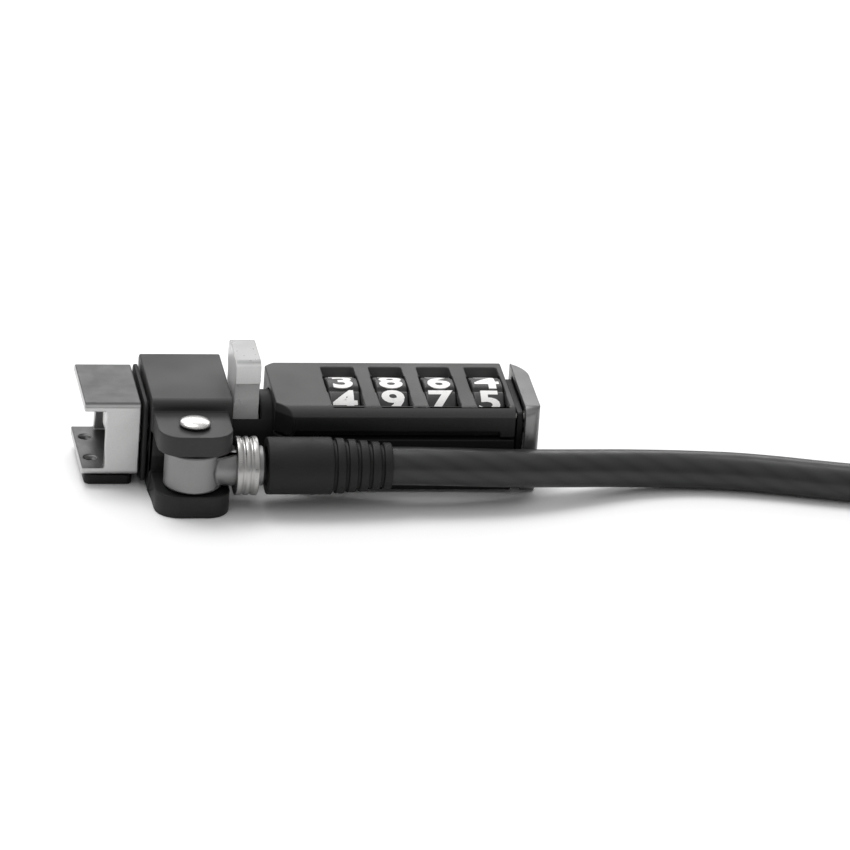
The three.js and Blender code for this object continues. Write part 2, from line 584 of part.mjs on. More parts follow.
// The stretch that isn't coiled: straight out of the sleeve, down to the surface, then along it
// to the coil, at CABLE_LIFT. Each point is [x, y, z].
const runPoints = [
  [CABLE.exit, -8, 5.6],
  [14, -8, 5.55],
  [19, -7.8, 5.35],
  [24, -7.2, 4.95],
  [29, -6.0, 4.4],
  [34, -4.5, 3.75],
  [39, -3.0, 3.1],
  [44, -2.1, 2.65],
  [49, -1.9, 2.43],
  [54, -2.4, CABLE_LIFT],
  [59, -3.4, CABLE_LIFT],
  [64, -4.7, CABLE_LIFT],
  [69, -5.9, CABLE_LIFT],
  [76, -7.2, CABLE_LIFT],
  [85, -7.9, CABLE_LIFT],
  [98.6, -8, CABLE_LIFT],
];
const run = new THREE.CatmullRomCurve3(runPoints.map((p) => new THREE.Vector3(...p)), false, "centripetal");
add("cable_run", tubeAlong(run, CABLE.diameter / 2, 10, 18), "jacket");

// The stored length, as the ring that its turns fill.
const coilHalf = (COIL.turns * CABLE.diameter) / 2;
const coilTop = COIL.layers * CABLE.diameter;

function coilRing() {
  const section = roundedRectangle(COIL.radius - coilHalf, COIL.radius + coilHalf, 0, coilTop, 2);
  const profile = section.getPoints(1);
  profile.push(profile[0].clone());
  return solid(new THREE.LatheGeometry(profile, 32).rotateX(Math.PI / 2));
}
add("cable_coil", moved(coilRing(), COIL.x, COIL.y, 0), "jacket");

// The cable's end lies on the coil: part of a turn, a short bend, a double ferrule and the loop
// that the lock is passed through. Drawn around the coil's middle, then turned so that the loop
// stays over the coil.
const topZ = coilTop + CABLE.diameter / 2 + GAP;
const endTurn = THREE.MathUtils.degToRad(-10);
const topTurn = { radius: COIL.radius - CABLE.diameter, from: -Math.PI / 2 - endTurn };
const bend = { centre: 4.5, radius: 19.5 };
const loopFerrule = { x0: -7.5, x1: 3.5, halfWidth: 5, halfHeight: 2.5 };
const loopPoints = [
  [-8.4, 17.1],
  [-13, 15.2],
  [-19, 11.4],
  [-26, 9.2],
  [-33, 11.6],
  [-36.5, 19.5],
  [-33, 27.4],
  [-26, 29.8],
  [-19, 27.6],
  [-13, 23.8],
  [-8.4, 21.9],
];

function onCoil(x, y, z = topZ) {
  const flat = new THREE.Vector2(x, y).rotateAround(new THREE.Vector2(0, 0), endTurn);
  return new THREE.Vector3(COIL.x + flat.x, COIL.y + flat.y, z);
}

function endBend() {
  const points = [];
  for (let i = 0; i < 12; i++) {
    const angle = topTurn.from * (1 - i / 12);
    points.push(onCoil(topTurn.radius * Math.cos(angle), topTurn.radius * Math.sin(angle)));
  }
  for (let i = 0; i <= 12; i++) {
    const angle = (i / 12) * (Math.PI / 2);
    points.push(onCoil(bend.centre + bend.radius * Math.cos(angle), bend.radius * Math.sin(angle)));
  }
  return new THREE.CatmullRomCurve3(points);
}
add("cable_end", tubeAlong(endBend(), CABLE.diameter / 2, 10, 14), "jacket");

function loopFerruleSolid() {
  const { x0, x1, halfWidth, halfHeight } = loopFerrule;
  const outline = roundedRectangle(
    bend.radius - halfWidth,
    bend.radius + halfWidth,
    topZ - halfHeight,
    topZ + halfHeight,
    2.4,
  );
  return bar(outline, x0, x1)
    .rotate([0, 0, THREE.MathUtils.radToDeg(endTurn)])
    .translate([COIL.x, COIL.y, 0]);
}
add("loop_ferrule", loopFerruleSolid(), "silver");

const loopCurve = new THREE.CatmullRomCurve3(loopPoints.map(([x, y]) => onCoil(x, y)));
add("end_loop", tubeAlong(loopCurve, CABLE.diameter / 2, 10, 20), "jacket");

export default lock;
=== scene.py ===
import math

import bmesh
import bpy
from mathutils import Matrix, Quaternion, Vector
from mathutils.bvhtree import BVHTree


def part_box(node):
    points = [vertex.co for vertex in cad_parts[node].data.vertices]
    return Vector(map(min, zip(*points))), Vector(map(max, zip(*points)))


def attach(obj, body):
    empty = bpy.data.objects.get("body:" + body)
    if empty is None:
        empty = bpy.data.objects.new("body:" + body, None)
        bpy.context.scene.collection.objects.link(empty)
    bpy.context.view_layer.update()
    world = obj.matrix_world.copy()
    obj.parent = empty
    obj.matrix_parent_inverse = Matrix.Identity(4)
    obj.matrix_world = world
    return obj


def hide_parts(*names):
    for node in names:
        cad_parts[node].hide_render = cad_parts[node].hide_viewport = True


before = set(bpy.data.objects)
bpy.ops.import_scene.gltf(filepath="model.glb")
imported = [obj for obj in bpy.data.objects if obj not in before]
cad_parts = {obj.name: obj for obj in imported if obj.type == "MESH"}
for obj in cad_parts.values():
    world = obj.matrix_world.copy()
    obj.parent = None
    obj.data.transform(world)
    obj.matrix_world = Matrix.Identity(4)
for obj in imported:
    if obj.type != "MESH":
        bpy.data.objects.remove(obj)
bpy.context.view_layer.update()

# ---- Driving dimensions, in metres -------------------------------------------------------

MM = 0.001
AXIS_Y = 4.0 * MM  # the line of the spindle, the dials and the button
AXIS_Z = 6.0 * MM

CABLE_DIAMETER = 4.8 * MM
CABLE_Y = -8.0 * MM  # the cable's line where it leaves the lock
CABLE_Z = 5.6 * MM
CABLE_LIFT = CABLE_DIAMETER / 2 + 0.02 * MM  # its middle, where it lies on the surface

COIL_CENTRE = Vector((117 * MM, 25.6 * MM, 0))
COIL_RADIUS = 28.8 * MM
COIL_TURNS = 3  # side by side
COIL_LAYERS = 3
END_TURN = math.radians(-10)  # where the cable leaves the coil for its end loop
TOP_Z = COIL_LAYERS * CABLE_DIAMETER + CABLE_DIAMETER / 2 + 0.3 * MM

DIGITS = 10
DIAL_CODE = (3, 8, 6, 4)  # the digit that faces up on each dial at rest
DIGIT_HEIGHT = 3.3 * MM
DIGIT_WIDTH = 3.0 * MM
INK_PROUD = 0.03 * MM  # how far the printed figures stand out of a dial
INK_ROOT = 0.12 * MM  # and how far they reach into it
FIGURE_STRIPS = 12  # the strips that a figure is cut into, so that it bends round its dial
DIAL_BORE = 4.75 * MM
DIAL_EDGE = 0.28 * MM
GRIP_DEPTH = 0.34 * MM

BARREL = 8.2 * MM  # the plain part of the cable's sleeve, before its ribs
RIBS = 5
RIB_FALL = 0.14 * MM  # each rib is smaller than the last by this
RIB_DEPTH = 0.35 * MM
RIB_GAP = 0.45 * MM


# ---- Camera ------------------------------------------------------------------------------


def place_camera():
    eye = Vector((-168, -1080, 484)) * MM
    target = Vector((14.0, -3.75, 9.3)) * MM
    data = bpy.data.cameras.new("camera")
    data.sensor_width = 36
    data.lens = 403
    data.clip_start = 0.05
    data.clip_end = 20
    camera = bpy.data.objects.new("camera", data)
    bpy.context.collection.objects.link(camera)
    roll = Quaternion((0, 0, 1), math.radians(4))
    camera.rotation_mode = "QUATERNION"
    camera.rotation_quaternion = (target - eye).to_track_quat("-Z", "Y") @ roll
    camera.location = eye
    bpy.context.scene.camera = camera


place_camera()


# ---- Materials ---------------------------------------------------------------------------


class Graph:
    """A material's node tree, with one method for each kind of node used here."""

    def __init__(self, name, **constants):
        self.material = bpy.data.materials.new(name)
        self.material.use_nodes = True
        self.tree = self.material.node_tree
        self.tree.nodes.clear()
        out = self.node("OutputMaterial")
        self.shader = self.node("BsdfPrincipled")
        self.tree.links.new(self.shader.outputs[0], out.inputs["Surface"])
        for socket, value in constants.items():
            self.shader.inputs[socket.replace("_", " ")].default_value = value

    def node(self, kind, **settings):
        made = self.tree.nodes.new("ShaderNode" + kind)
        for key, value in settings.items():
            setattr(made, key, value)
        return made

    def put(self, socket, value):
        """Links an output to an input, or sets the input's own value."""
        if isinstance(value, bpy.types.NodeSocket):
            self.tree.links.new(value, socket)
        else:
            socket.default_value = value

    def place(self, scale=(1, 1, 1)):
        where = self.node("Mapping")
        where.inputs["Scale"].default_value = scale
        self.put(where.inputs["Vector"], self.node("TexCoord").outputs["Object"])
        return where.outputs[0]

    def noise(self, scale, detail=3, stretch=(1, 1, 1), roughness=0.55):
        made = self.node("TexNoise")
        self.put(made.inputs["Vector"], self.place(stretch))
        made.inputs["Scale"].default_value = scale
        made.inputs["Detail"].default_value = detail
        made.inputs["Roughness"].default_value = roughness
        return made.outputs["Fac"]

    def height(self):
        """How far up the piece's own frame a point lies, in metres."""
        where = self.node("SeparateXYZ")
        self.put(where.inputs[0], self.node("TexCoord").outputs["Object"])
        return where.outputs[2]

    def upward(self):
        """1 on faces that look up, 0 on the others."""
        facing = self.node("SeparateXYZ")
        self.put(facing.inputs[0], self.node("TexCoord").outputs["Normal"])
        return self.span(facing.outputs[2], 0.55, 0.85)

    def cells(self, scale):
        made = self.node("TexVoronoi")
        self.put(made.inputs["Vector"], self.place())
        made.inputs["Scale"].default_value = scale
        return made.outputs["Distance"]

    def math(self, operation, *values):
        made = self.node("Math", operation=operation)
        for socket, value in zip(made.inputs, values):
            self.put(socket, value)
        return made.outputs[0]

    def span(self, value, low, high, to_low=0.0, to_high=1.0):
        made = self.node("MapRange", clamp=True)
        for socket, number in zip(made.inputs[:5], (value, low, high, to_low, to_high)):
            self.put(socket, number)
        return made.outputs[0]

    def mix(self, share, a, b):
        made = self.node("Mix", data_type="RGBA")
        self.put(made.inputs[0], share)
        self.put(made.inputs[6], a)
        self.put(made.inputs[7], b)
        return made.outputs[2]

    def edges(self, low, high):
        """1 along the sharp outward edges, 0 on the flats."""
        return self.span(self.node("NewGeometry").outputs["Pointiness"], low, high)

    def bump(self, height, depth, strength=0.6, under=None):
        made = self.node("Bump")
        made.inputs["Strength"].default_value = strength
        made.inputs["Distance"].default_value = depth
        self.put(made.inputs["Height"], height)
        if under is not None:
            self.put(made.inputs["Normal"], under)
        self.put(self.shader.inputs["Normal"], made.outputs[0])
        return made.outputs[0]

    def colour(self, value):
        self.put(self.shader.inputs["Base Color"], value)

    def rough(self, value):
        self.put(self.shader.inputs["Roughness"], value)


def grey(value, warm=0.0):
    return (value * (1 + warm), value, value * (1 - warm), 1)


def coated_metal(name, dark, light, worn, roughness, metallic, specular=0.45, painted_shade_below=None):
    """Electro-coated die-cast zinc: a fine orange peel, a faint speckle, and bare metal at the edges.
    Below a given height the colour is painted near black: painted shade on the lower faces, not a
    black coat."""
    g = Graph(name, Metallic=metallic, Specular_IOR_Level=specular)
    speckle = g.noise(6500, 2)
    cloud = g.noise(90, 2)
    base = g.mix(g.math("MULTIPLY_ADD", speckle, 0.6, g.math("MULTIPLY", cloud, 0.4)), dark, light)
    patchy = g.span(g.noise(1500, 4), 0.42, 0.62)
    wear = g.math("MULTIPLY", g.edges(0.56, 0.7), patchy)
    coat = g.mix(wear, base, worn)
    # Painted shade: below the given height the coat colour is swapped for near black.
    if painted_shade_below is not None:
        upper = g.span(g.height(), painted_shade_below - 0.1 * MM, painted_shade_below + 0.1 * MM)
        coat = g.mix(upper, g.mix(speckle, grey(0.008), grey(0.02)), coat)
    g.colour(coat)
    g.rough(g.span(cloud, 0.3, 0.7, roughness - 0.07, roughness + 0.08))
    peel = g.bump(g.noise(3200, 3), 0.02 * MM, 0.3)
    g.bump(g.noise(9000, 1), 0.008 * MM, 0.4, peel)
    return g.material


def bright_steel(name, tone, roughness, along=(1, 14, 14)):
    """Nickel-plated steel with fine drawn lines along one direction and a few soft smears."""
    g = Graph(name, Metallic=1.0)
    lines = g.noise(900, 5, along)
    smear = g.noise(320, 4)
    g.colour(g.mix(g.span(smear, 0.3, 0.7), grey(tone * 0.82, 0.01), grey(tone, 0.015)))
    shine = g.span(lines, 0.3, 0.7, roughness - 0.06, roughness + 0.07)
    g.rough(g.math("ADD", shine, g.span(smear, 0.5, 0.8, 0.0, 0.08)))
    g.bump(lines, 0.006 * MM, 0.35)
    return g.material


def blasted_silver(name, tone, roughness=0.42, metallic=0.85, top=1.0):
    """Bead-blasted plated metal: an even, very fine grain. Its up-facing faces are painted darker, by
    the factor top: painted shade on the tops.
    """
    g = Graph(name, Metallic=metallic)
    grain = g.noise(7000, 2)
    cloud = g.noise(400, 4)
    plate = g.mix(g.math("MULTIPLY", grain, cloud), grey(tone * 0.8), grey(tone * 1.12, 0.01))
    # Painted shade: up-facing faces get a darker copy of the plate colour, scaled by top.
    if top < 1:
        painted_top_shade = g.mix(g.math("MULTIPLY", grain, cloud), grey(tone * top * 0.8), grey(tone * top * 1.2))
        plate = g.mix(g.upward(), plate, painted_top_shade)
    g.colour(plate)
    g.rough(g.span(cloud, 0.3, 0.7, roughness - 0.06, roughness + 0.08))
    g.bump(grain, 0.01 * MM, 0.4)
    return g.material


def turned_brass():
    g = Graph("turned_brass", Metallic=1.0)
    lines = g.noise(1600, 4, (1, 10, 10))
    g.colour(g.mix(lines, (0.42, 0.29, 0.12, 1), (0.66, 0.49, 0.22, 1)))
    g.rough(g.span(lines, 0.3, 0.7, 0.26, 0.42))
    g.bump(lines, 0.006 * MM, 0.3)
    return g.material


def moulded_black(name, tone, roughness, grain_scale, grain_depth):
    """Moulded plastic or rubber: a fine eroded grain, slightly greyer where it is handled."""
    g = Graph(name, Specular_IOR_Level=0.3)
    grain = g.cells(grain_scale)
    cloud = g.noise(420, 4)
    g.colour(g.mix(g.span(cloud, 0.35, 0.7), grey(tone), grey(tone * 1.6, 0.01)))
    g.rough(g.span(cloud, 0.3, 0.7, roughness - 0.06, roughness + 0.07))
    g.bump(grain, grain_depth, 0.5)
    return g.material


def digit_paint():
    """Pad-printed white, a little thin in places."""
    g = Graph("digit_paint", Roughness=0.5)
    thin = g.span(g.noise(2400, 4), 0.25, 0.45)
    g.colour(g.mix(thin, grey(0.74), grey(0.86, 0.01)))
    g.bump(g.noise(5000, 2), 0.006 * MM, 0.4)
    return g.material


def vinyl_cable():
    """Smoked vinyl over a twisted steel cable: the strands show faintly through the jacket."""
    g = Graph("vinyl_cable", Coat_Weight=0.12, Coat_Roughness=0.22, Specular_IOR_Level=0.32)
    where = g.node("SeparateXYZ")
    g.put(where.inputs[0], g.node("UVMap", uv_map="cable").outputs[0])
    lay = g.math("ADD", where.outputs[0], g.math("MULTIPLY", where.outputs[1], 7.0))
    strand = g.math("ABSOLUTE", g.math("SINE", g.math("MULTIPLY", lay, math.pi)))
    smoke = g.noise(300, 4)
    seen = g.math("MULTIPLY", g.span(strand, 0.1, 1.0), g.span(smoke, 0.25, 0.7, 0.6, 1.0))
    g.colour(g.mix(seen, grey(0.015), grey(0.024)))
    g.rough(g.span(smoke, 0.3, 0.7, 0.34, 0.46))
    under = g.bump(strand, 0.05 * MM, 0.22)
    g.bump(g.noise(3000, 2), 0.01 * MM, 0.25, under)
    return g.material


def floor_paper():
    g = Graph("floor_paper", Roughness=0.75, Specular_IOR_Level=0.25)
    cloud = g.noise(6, 3)
    g.colour(g.mix(cloud, grey(0.93), grey(0.955)))
    g.bump(g.noise(900, 3), 0.02 * MM, 0.1)
    return g.material


ZINC_FINISH = (grey(0.12, 0.02), 0.5, 0.2, 0.3)  # worn edges, roughness, metallic, specular
# Painted shade: the upper shell's faces below 10.3 mm and the head's faces below 5 mm are coloured
# near black, standing in for the shade on them.
ZINC = coated_metal(
    "zinc_coat", grey(0.044), grey(0.058, 0.01), *ZINC_FINISH, painted_shade_below=10.3 * MM
)
HEAD_ZINC = coated_metal(
    "head_coat", grey(0.028), grey(0.038, 0.01), *ZINC_FINISH, painted_shade_below=5 * MM
)
BLACK_ZINC = coated_metal(
    "black_coat", grey(0.007), grey(0.014), grey(0.07, 0.02), 0.55, 0.05, 0.25
)
STEEL = bright_steel("bright_steel", 0.42, 0.3)
PIN_STEEL = bright_steel("pin_steel", 0.6, 0.28, (14, 14, 1))
SPRING_STEEL = bright_steel("spring_steel", 0.5, 0.3)
# top= paints the up-facing faces of the lever, the bracket and the end cap darker: painted shade.
LEVER_SILVER = blasted_silver("lever_silver", 0.86, 0.32, 0.2, top=0.4)
SILVER = blasted_silver("blasted_silver", 0.27)
BRACKET_SILVER = blasted_silver("bracket_silver", 0.58, 0.36, 0.9, top=0.11)
END_SILVER = blasted_silver("end_cap_silver", 0.26, 0.4, 0.8, top=0.5)
BRASS = turned_brass()
DIAL_BLACK = moulded_black("dial_black", 0.028, 0.42, 5200, 0.008 * MM)
RUBBER = moulded_black("moulded_rubber", 0.006, 0.62, 3600, 0.02 * MM)
STRAP = moulded_black("woven_strap", 0.018, 0.75, 2400, 0.05 * MM)
WHITE = digit_paint()
JACKET = vinyl_cable()


# ---- Mesh building -----------------------------------------------------------------------


def settle(obj, body, material, sharp=38):
    """Shades, paints and fastens a new piece to its body."""
    bpy.context.collection.objects.link(obj)
    obj.data.shade_smooth()
    obj.data.set_sharp_from_angle(angle=math.radians(sharp))
    obj.data.materials.clear()
    obj.data.materials.append(material)
    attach(obj, body)
    return obj


def weigh_normals(obj):
    """Keeps the flats flat where a rounded edge meets them."""
    made = obj.modifiers.new("weighted_normals", "WEIGHTED_NORMAL")
    made.keep_sharp = True
    made.weight = 90


def object_of(name, bm):
    bmesh.ops.recalc_face_normals(bm, faces=bm.faces)
    mesh = bpy.data.meshes.new(name)
    bm.to_mesh(mesh)
    bm.free()
    return bpy.data.objects.new(name, mesh)


def keep_to(skin, lo, hi, bm, limit):
    """Puts back any corner that the rounding threw off the skin or out of its box."""
    for vertex in bm.verts:
        near, _, _, distance = skin.find_nearest(vertex.co)
        if distance > limit:
            vertex.co = near
        vertex.co = [min(max(at, low), high) for at, low, high in zip(vertex.co, lo, hi)]


def refined(node, width, body, material, segments=2, sharp=38):
    """A CAD node's own shape with its hard edges rounded."""
    bm = bmesh.new()
    bm.from_mesh(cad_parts[node].data)
    skin = BVHTree.FromBMesh(bm)
    bmesh.ops.remove_doubles(bm, verts=bm.verts, dist=0.015 * MM)
    bmesh.ops.dissolve_limit(
        bm, angle_limit=math.radians(1), verts=bm.verts, edges=bm.edges, delimit=set()
    )
    bmesh.ops.recalc_face_normals(bm, faces=bm.faces)
    hard = [
        e
        for e in bm.edges
        if len(e.link_faces) == 2 and abs(e.calc_face_angle_signed()) > math.radians(sharp)
    ]
    bmesh.ops.bevel(
        bm,
        geom=hard,
        offset=width,
        offset_type="OFFSET",
        segments=segments,
        profile=0.5,
        affect="EDGES",
        clamp_overlap=False,
        miter_outer="ARC",
    )
    keep_to(skin, *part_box(node), bm, width * 0.6)
    piece = object_of(node + "_fine", bm)
    settle(piece, body, material)
    weigh_normals(piece)
    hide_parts(node)
    return piece


def ring_points(profile, centre, axis, steps, warp):
    rows = []
    for i in range(steps):
        angle = i / steps * 2 * math.pi
        row = []
        for radius, along in profile:
            r = warp(angle, radius, along) if warp else radius
            a, b = r * math.cos(angle), r * math.sin(angle)
            offset = Vector((along, a, b)) if axis == "X" else Vector((a, b, along))
            row.append(centre + offset)
        rows.append(row)
    return rows


def lathe(name, profile, centre, axis="X", steps=72, warp=None):
    """Turns (radius, along) points about an axis. The profile closes on itself, or starts and
    ends on the axis."""
    bm = bmesh.new()
    rings = ring_points(profile, centre, axis, steps, warp)
    rows = [[bm.verts.new(p) for p in ring] for ring in rings]
    count = len(profile)
    for i, row in enumerate(rows):
        following = rows[(i + 1) % steps]
        for j in range(count):
            k = (j + 1) % count
            if profile[j][0] == 0 and profile[k][0] == 0:
                continue
            bm.faces.new((row[j], row[k], following[k], following[j]))
    bmesh.ops.remove_doubles(bm, verts=bm.verts, dist=1e-7)
    bmesh.ops.dissolve_degenerate(bm, dist=1e-8, edges=bm.edges)
    return object_of(name, bm)


def rounded(points, radius, steps=4):
    """An open outline's points, with every corner but its two ends rounded."""
    made = [points[0]]
    for before, at, after in zip(points, points[1:], points[2:]):
        here, a, b = Vector(at), Vector(before) - Vector(at), Vector(after) - Vector(at)
        reach = min(radius, a.length / 2.1, b.length / 2.1)
        start, end = here + a.normalized() * reach, here + b.normalized() * reach
        for i in range(steps + 1):
            t = i / steps
            made.append(tuple(start.lerp(here, t).lerp(here.lerp(end, t), t)))
    made.append(points[-1])
    return made


def ring_profile(inner, outer, x0, x1, edge):
    """A closed ring section, its four corners rounded."""
    middle = (x0 + x1) / 2
    corners = [(inner, middle), (inner, x0), (outer, x0), (outer, x1), (inner, x1), (inner, middle)]
    return rounded(corners, edge)[:-1]


def catmull(points, per_span):
    """A smooth line through the points."""
    p = [Vector(q) for q in points]
    p = [p[0] * 2 - p[1], *p, p[-1] * 2 - p[-2]]
    line = []
    for a, b, c, d in zip(p, p[1:], p[2:], p[3:]):
        for i in range(per_span):
            t = i / per_span
            line.append(
                0.5
                * (
                    2 * b
                    + (c - a) * t
                    + (2 * a - 5 * b + 4 * c - d) * t**2
                    + (3 * b - a - 3 * c + d) * t**3
                )
            )
    line.append(p[-2])
    return line


def tube(name, line, diameter, sides=28):
    """A round solid along a line, with a UV map in diameters along and turns around."""
    bm = bmesh.new()
    uv = bm.loops.layers.uv.new("cable")
    radius = diameter / 2
    up = Vector((0, 0, 1))
    run = 0.0
    rings = []
    for i, point in enumerate(line):
        ahead = (line[min(i + 1, len(line) - 1)] - line[max(i - 1, 0)]).normalized()
        side = ahead.cross(up).normalized()
        top = side.cross(ahead)
        if i:
            run += (point - line[i - 1]).length
        ring = []
        for j in range(sides):
            a = j / sides * 2 * math.pi
            out = side * math.cos(a) + top * math.sin(a)
            ring.append(bm.verts.new(point + out * radius))
        rings.append((ring, run / diameter))
    for (ring, u), (following, v) in zip(rings, rings[1:]):
        for j in range(sides):
            k = (j + 1) % sides
            face = bm.faces.new((ring[j], ring[k], following[k], following[j]))
            for loop, at in zip(face.loops, ((u, j), (u, j + 1), (v, j + 1), (v, j))):
                loop[uv].uv = (at[0], at[1] / sides)
    bm.faces.new(rings[0][0])
    bm.faces.new(rings[-1][0])
    return object_of(name, bm)


def prism(name, outline, x0, x1, edge, segments=3):
    """An outline in Y and Z, run from x0 to x1, its rims rounded."""
    bm = bmesh.new()
    near = [bm.verts.new((x0, y, z)) for y, z in outline]
    far = [bm.verts.new((x1, y, z)) for y, z in outline]
    rims = [bm.faces.new(near), bm.faces.new(far)]
    for i in range(len(outline)):
        k = (i + 1) % len(outline)
        bm.faces.new((near[i], near[k], far[k], far[i]))
    bmesh.ops.recalc_face_normals(bm, faces=bm.faces)
    edges = [e for face in rims for e in face.edges]
    bmesh.ops.bevel(
        bm,
        geom=edges,
        offset=edge,
        offset_type="OFFSET",
        segments=segments,
        profile=0.5,
        affect="EDGES",
        clamp_overlap=True,
    )
    return object_of(name, bm)


# ---- The cable: out of its sleeve, down to the surface, along it, and round the coil ----------

RUN_POINTS = [
    (0.0050, -0.0080, 0.00560),
    (0.0096, -0.0080, 0.00560),
    (0.0140, -0.0080, 0.00555),
    (0.0190, -0.0078, 0.00535),
    (0.0240, -0.0072, 0.00495),
    (0.0290, -0.0060, 0.00440),
    (0.0340, -0.0045, 0.00375),
    (0.0390, -0.0030, 0.00310),
    (0.0440, -0.0021, 0.00265),
    (0.0490, -0.0019, 0.00243),
    (0.0540, -0.0024, CABLE_LIFT),
    (0.0590, -0.0034, CABLE_LIFT),
    (0.0640, -0.0047, CABLE_LIFT),
    (0.0690, -0.0059, CABLE_LIFT),
    (0.0760, -0.0072, CABLE_LIFT),
    (0.0850, -0.0079, CABLE_LIFT),
    (0.0986, -0.0080, CABLE_LIFT),
    (0.1080, -0.0080, CABLE_LIFT),
]


def smooth(t):
    t = min(1.0, max(0.0, t))
    return t * t * (3 - 2 * t)


def coil_line(per_turn=48, step_from=0.78, step_to=0.98):
    """Nine turns, three side by side in each of three layers, then part of a turn on top.
    Each turn keeps its radius and steps to its neighbour's over a short arc. A turn that climbs
    to the next layer swings a little out of the stack, so that it clears the one it climbs past."""
    spread = (COIL_TURNS - 1) / 2
    places = []
    for layer in range(COIL_LAYERS):
        across = range(COIL_TURNS) if layer % 2 else range(COIL_TURNS - 1, -1, -1)
        for i in across:
            radius = COIL_RADIUS + (i - spread) * CABLE_DIAMETER
            places.append((radius, CABLE_LIFT + layer * CABLE_DIAMETER))
    places.append((places[-1][0], TOP_Z))
    swing = 0.37 * CABLE_DIAMETER
    line = []
    turns = len(places) - 1
    on_top = (END_TURN + math.pi / 2) / (2 * math.pi)
    for i in range(int((turns + on_top) * per_turn) + 1):
        turn, share = divmod(i / per_turn, 1)
        turn = int(turn)
        radius, height = places[turn]
        if turn < turns:
            next_radius, next_height = places[turn + 1]
            t = smooth((share - step_from) / (step_to - step_from))
            if next_height > height:
                inward = -1 if radius < COIL_RADIUS else 1
                next_radius += inward * swing * math.sin(math.pi * t) / max(t, 1e-6)
            radius += (next_radius - radius) * t
            height += (next_height - height) * t
        angle = i / per_turn * 2 * math.pi - math.pi / 2
        around = Vector((radius * math.cos(angle), radius * math.sin(angle), height))
        line.append(COIL_CENTRE + around)
    return line


def on_coil(x, y, z=TOP_Z):
    """A point on top of the coil, drawn about its middle and turned with the end loop."""
    return COIL_CENTRE + Matrix.Rotation(END_TURN, 3, "Z") @ Vector((x, y, z))


def end_line():
    """From the top turn round a short bend into the double ferrule."""
    radius, middle = 19.5 * MM, 4.5 * MM
    line = []
    for i in range(1, 15):
        angle = i / 14 * math.pi / 2
        line.append(on_coil(middle + radius * math.cos(angle), radius * math.sin(angle)))
    line.append(on_coil(0, radius))
    return line


def security_cable():
    line = catmull(RUN_POINTS, 4) + coil_line() + end_line()
    cable = tube("security_cable", line, CABLE_DIAMETER)
    settle(cable, "cable", JACKET)
    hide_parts("cable_run", "cable_coil", "cable_end")
    return cable, line


def end_loop():
    """The loop that the lock is passed through, both of its ends in the ferrule."""
    points = [
        (-4.0, 17.1),
        (-8.4, 17.1),
        (-13.0, 15.2),
        (-19.0, 11.4),
        (-26.0, 9.2),
        (-33.0, 11.6),
        (-36.5, 19.5),
        (-33.0, 27.4),
        (-26.0, 29.8),
        (-19.0, 27.6),
        (-13.0, 23.8),
        (-8.4, 21.9),
        (-4.0, 21.9),
    ]
    line = catmull([on_coil(x * MM, y * MM) for x, y in points], 8)
    loop = tube("cable_end_loop", line, CABLE_DIAMETER)
    settle(loop, "cable", JACKET)
    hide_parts("end_loop")
    return loop


def stadium(half_width, half_height, steps=10):
    flat = half_width - half_height
    outline = []
    for side in (1, -1):
        for i in range(steps + 1):
            a = side * math.pi / 2 - i / steps * math.pi
            outline.append((side * flat + half_height * math.cos(a), half_height * math.sin(a)))
    return outline


def loop_ferrule():
    """A double ferrule, pressed in three bands."""
    stations = []
    x0, x1, edge = -7.5, 3.5, 0.35
    bands = (-5.2, -2.0, 1.2)
    x = x0
    while x <= x1 + 1e-6:
        depth = max(smooth(1 - abs(x - b) / 1.1) for b in bands) * 0.28
        end = min(x - x0, x1 - x)
        if end < edge:
            depth += edge - math.sqrt(max(0.0, edge**2 - (edge - end) ** 2))
        stations.append((x, depth))
        x += 0.11
    bm = bmesh.new()
    rows = []
    for x, depth in stations:
        outline = stadium(5.0 - depth, 2.5 - depth)
        places = [on_coil(x * MM, (19.5 + y) * MM, TOP_Z + z * MM) for y, z in outline]
        rows.append([bm.verts.new(place) for place in places])
    for row, following in zip(rows, rows[1:]):
        for j in range(len(row)):
            k = (j + 1) % len(row)
            bm.faces.new((row[j], row[k], following[k], following[j]))
    bm.faces.new(rows[0])
    bm.faces.new(rows[-1])
    ferrule = object_of("loop_ferrule_pressed", bm)
    settle(ferrule, "cable", SILVER)
    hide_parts("loop_ferrule")
    return ferrule


def coil_tie():
    """A strap round the stored turns."""
    angle = math.radians(215)
    half = COIL_TURNS * CABLE_DIAMETER / 2
    top = COIL_LAYERS * CABLE_DIAMETER
    thick, width, corner = 0.5 * MM, 9 * MM, 2.2 * MM
    steps = 6
    outlines = []
    for grow in (0.0, thick):
        outline = []
        for cx, cz, start in ((1, 1, 0), (-1, 1, 90), (-1, -1, 180), (1, -1, 270)):
            for i in range(steps + 1):
                a = math.radians(start + 90 * i / steps)
                outline.append(
                    (
                        cx * (half - corner) + (corner + grow) * math.cos(a),
                        top / 2 + 0.3 * MM + cz * (top / 2 - corner) + (corner + grow) * math.sin(a),
                    )
                )
        outlines.append(outline)
    bm = bmesh.new()
    radial = Vector((math.cos(angle), math.sin(angle), 0))
    tangent = Vector((-math.sin(angle), math.cos(angle), 0))
    loops = []
    for outline, along in ((0, -1), (1, -1), (1, 1), (0, 1)):
        row = []
        for r, z in outlines[outline]:
            where = COIL_CENTRE + radial * (COIL_RADIUS + r) + tangent * (along * width / 2)
            row.append(bm.verts.new(where + Vector((0, 0, max(z, 0.03 * MM)))))
        loops.append(row)
    for row, following in zip(loops, loops[1:] + loops[:1]):
        for j in range(len(row)):
            k = (j + 1) % len(row)
            bm.faces.new((row[j], row[k], following[k], following[j]))
    tie = object_of("coil_tie", bm)
    return settle(tie, "cable", STRAP)


